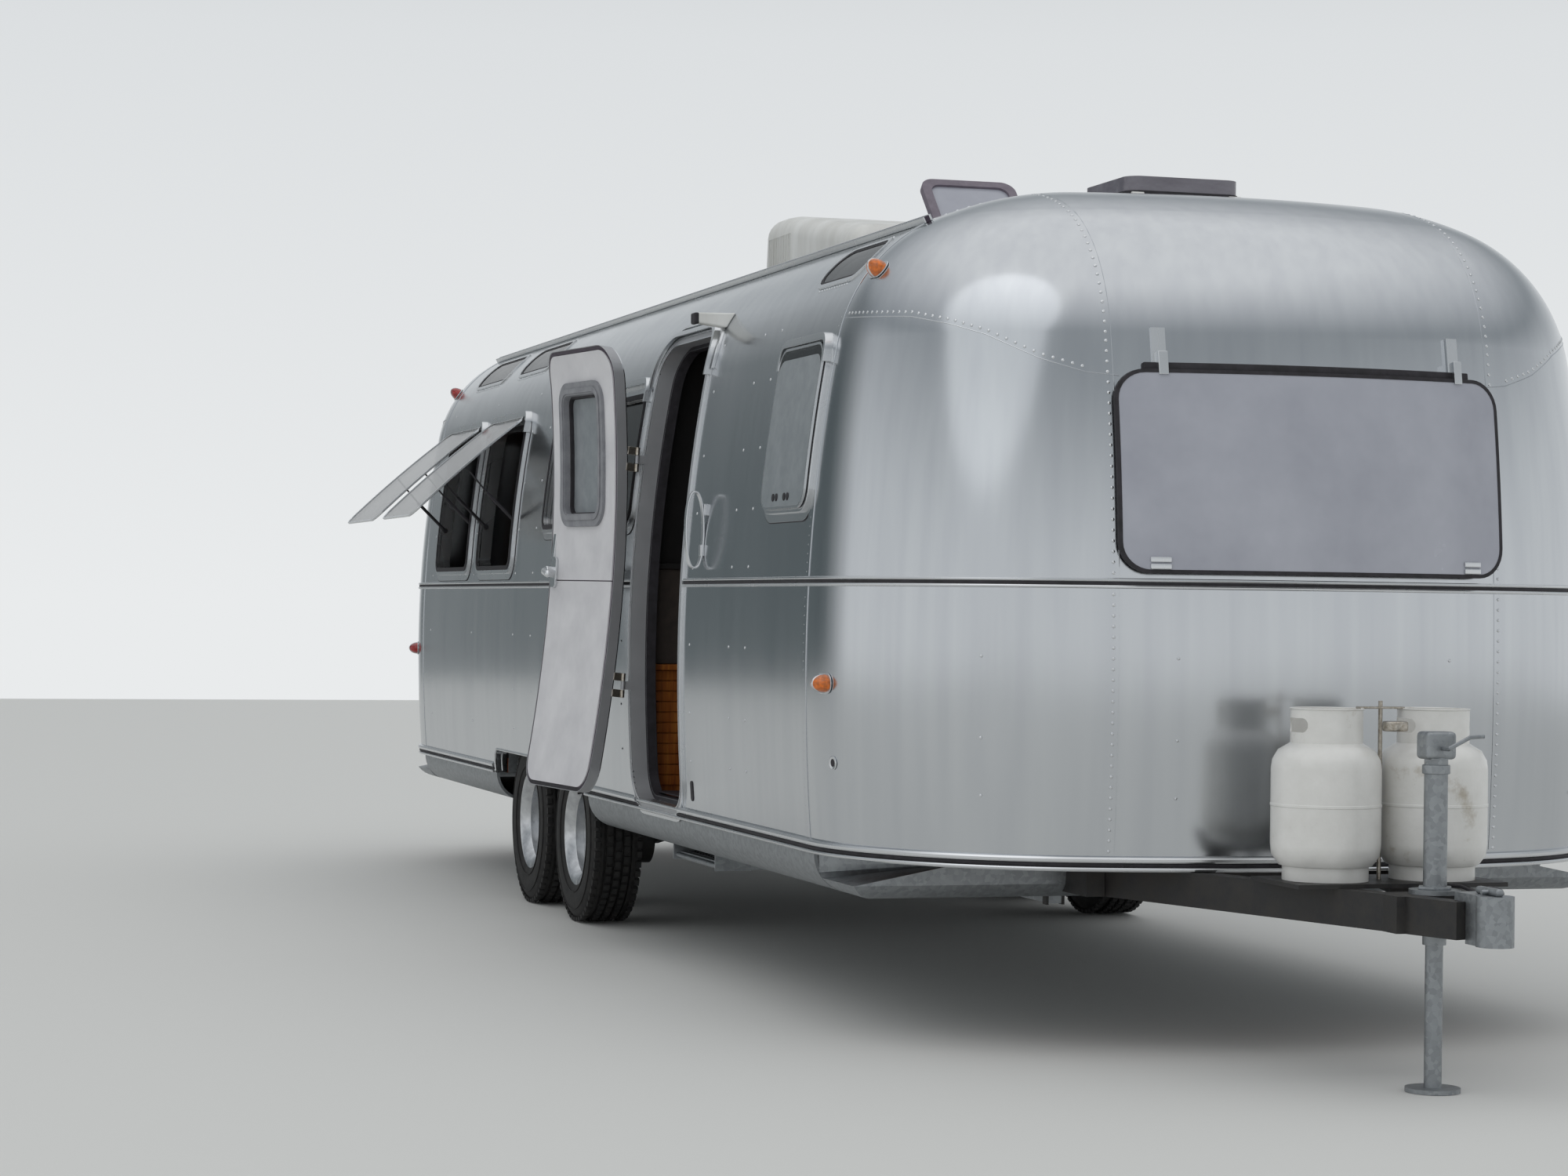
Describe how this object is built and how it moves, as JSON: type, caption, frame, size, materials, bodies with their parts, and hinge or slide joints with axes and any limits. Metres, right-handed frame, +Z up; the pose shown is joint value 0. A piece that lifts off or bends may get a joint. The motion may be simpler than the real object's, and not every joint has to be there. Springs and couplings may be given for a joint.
{
  "type": "travel caravan",
  "caption": "Round-ended travel caravan with a riveted aluminium body, tandem axles, side entry door and drawbar jack.",
  "frame": {"origin": "centre of the underside of the jack's foot, on the ground", "axes": "+X forward to the hitch along the body's length, +Y to the road side, +Z up"},
  "size_m": [9.4876, 3.0271, 2.9196],
  "materials": {
    "amber_lens": "clear amber",
    "bottle_paint": "white enamel",
    "bright_trim": "extruded trim",
    "door_white": "satin white",
    "floor_board": "stained ply",
    "frame_paint": "black chassis paint",
    "galvanised": "zinc plated",
    "guard_plastic": "smoked acrylic",
    "polished_aluminium": "polished sheet",
    "red_lens": "clear red",
    "smoked_glass": "tinted safety glass",
    "tyre": "black rubber",
    "white_plastic": "moulded",
    "wood": "varnished veneer"
  },
  "bodies": {
    "trailer": {"air_conditioner": "white_plastic", "axle_front": "frame_paint", "axle_rear": "frame_paint", "belly_pan": "galvanised", "belt_trim": "bright_trim", "bottle_rack": "frame_paint", "bumper": "galvanised", "chassis": "frame_paint", "coupler": "galvanised", "door_frame": "bright_trim", "floor": "floor_board", "front_end_lower": "polished_aluminium", "front_end_upper": "polished_aluminium", "front_window": "smoked_glass", "galley": "wood", "gas_bottles": "bottle_paint", "grab_handle": "bright_trim", "jack_housing": "galvanised", "marker_lights_amber": "amber_lens", "marker_lights_red": "red_lens", "porch_light": "white_plastic", "rear_end_lower": "polished_aluminium", "rear_end_upper": "polished_aluminium", "rear_window": "smoked_glass", "roof": "polished_aluminium", "roof_rails": "bright_trim", "rub_rail": "bright_trim", "step_bracket": "galvanised", "stone_guard": "guard_plastic", "tail_lamps": "red_lens", "vent_bases": "white_plastic", "vista_panes_curb": "smoked_glass", "vista_panes_road": "smoked_glass", "wall_curb_lower": "polished_aluminium", "wall_curb_upper": "polished_aluminium", "wall_road_lower": "polished_aluminium", "wall_road_upper": "polished_aluminium", "wheel_tubs": "galvanised", "window_frames_curb": "bright_trim", "window_frames_road": "bright_trim", "window_panes_curb": "smoked_glass", "window_panes_road": "smoked_glass", "window_sashes": "smoked_glass"},
    "door": {"door_leaf": "door_white", "door_window": "smoked_glass", "door_handle": "bright_trim"},
    "vent_lid_front": {"vent_lid_front": "guard_plastic"},
    "vent_lid_rear": {"vent_lid_rear": "guard_plastic"},
    "jack_leg": {"jack_leg": "galvanised"},
    "entry_step": {"entry_step": "galvanised"},
    "stand_front_curb": {"stand_front_curb": "galvanised"},
    "wheel_front_curb": {"wheel_front_curb": "tyre"},
    "stand_front_road": {"stand_front_road": "galvanised"},
    "wheel_front_road": {"wheel_front_road": "tyre"},
    "stand_rear_curb": {"stand_rear_curb": "galvanised"},
    "wheel_rear_curb": {"wheel_rear_curb": "tyre"},
    "stand_rear_road": {"stand_rear_road": "galvanised"},
    "wheel_rear_road": {"wheel_rear_road": "tyre"}
  },
  "joints": [
    {"name": "door_hinge", "type": "hinge", "parent": "trailer", "child": "door", "pos_m": [-3.79678, -1.30135, 1.41055], "axis": [0, 0.0526, 0.9986], "range_deg": [-3, 172]},
    {"name": "vent_lid_front_hinge", "type": "hinge", "parent": "trailer", "child": "vent_lid_front", "pos_m": [-1.76078, 0.02, 2.63015], "axis": [0, 1, 0], "range_deg": [0, 70]},
    {"name": "vent_lid_rear_hinge", "type": "hinge", "parent": "trailer", "child": "vent_lid_rear", "pos_m": [-3.54078, 0, 2.63015], "axis": [0, 1, 0], "range_deg": [-45, 25]},
    {"name": "jack_slide", "type": "slide", "parent": "trailer", "child": "jack_leg", "axis": [0, 0, 1], "range_m": [0, 0.3]},
    {"name": "entry_step_hinge", "type": "hinge", "parent": "trailer", "child": "entry_step", "pos_m": [-3.45878, -1.12, 0.369], "axis": [1, 0, 0], "range_deg": [-178, 0]},
    {"name": "stand_front_curb_hinge", "type": "hinge", "parent": "trailer", "child": "stand_front_curb", "pos_m": [-1.45878, -0.53, 0.3987], "axis": [0, 1, 0], "range_deg": [-75, 0]},
    {"name": "stand_front_road_hinge", "type": "hinge", "parent": "trailer", "child": "stand_front_road", "pos_m": [-1.45878, 0.53, 0.3987], "axis": [0, 1, 0], "range_deg": [-75, 0]},
    {"name": "stand_rear_curb_hinge", "type": "hinge", "parent": "trailer", "child": "stand_rear_curb", "pos_m": [-8.20878, -0.53, 0.3987], "axis": [0, 1, 0], "range_deg": [0, 75]},
    {"name": "stand_rear_road_hinge", "type": "hinge", "parent": "trailer", "child": "stand_rear_road", "pos_m": [-8.20878, 0.53, 0.3987], "axis": [0, 1, 0], "range_deg": [0, 75]},
    {"name": "wheel_front_curb_spin", "type": "hinge", "parent": "trailer", "child": "wheel_front_curb", "pos_m": [-5.03378, -1.11, 0.356], "axis": [0, 1, 0], "continuous": true},
    {"name": "wheel_front_road_spin", "type": "hinge", "parent": "trailer", "child": "wheel_front_road", "pos_m": [-5.03378, 1.11, 0.356], "axis": [0, 1, 0], "continuous": true},
    {"name": "wheel_rear_curb_spin", "type": "hinge", "parent": "trailer", "child": "wheel_rear_curb", "pos_m": [-5.89378, -1.11, 0.356], "axis": [0, 1, 0], "continuous": true},
    {"name": "wheel_rear_road_spin", "type": "hinge", "parent": "trailer", "child": "wheel_rear_road", "pos_m": [-5.89378, 1.11, 0.356], "axis": [0, 1, 0], "continuous": true}
  ]
}
